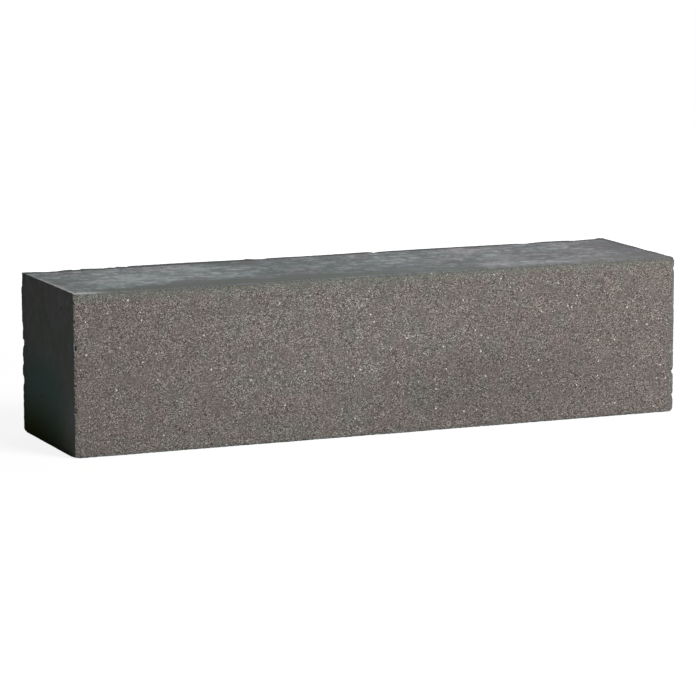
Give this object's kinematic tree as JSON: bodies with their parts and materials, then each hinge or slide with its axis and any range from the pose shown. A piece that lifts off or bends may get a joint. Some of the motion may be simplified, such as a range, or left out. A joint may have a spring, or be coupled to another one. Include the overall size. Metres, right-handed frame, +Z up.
{
  "type": "concrete block",
  "caption": "Solid rectangular concrete walling block with a struck sandy front face, smooth beds and ends and softened edges, stacked in courses for low garden walls, steps and edging.",
  "frame": {"origin": "middle of the lower bed face, on the surface that the block lies on", "axes": "+Z up from bed to bed, +X along the length, -Y out of the struck front face"},
  "size_m": [0.6, 0.15, 0.15],
  "materials": {
    "concrete": "matte"
  },
  "bodies": {
    "root": {"concrete_block": "concrete"}
  },
  "joints": []
}
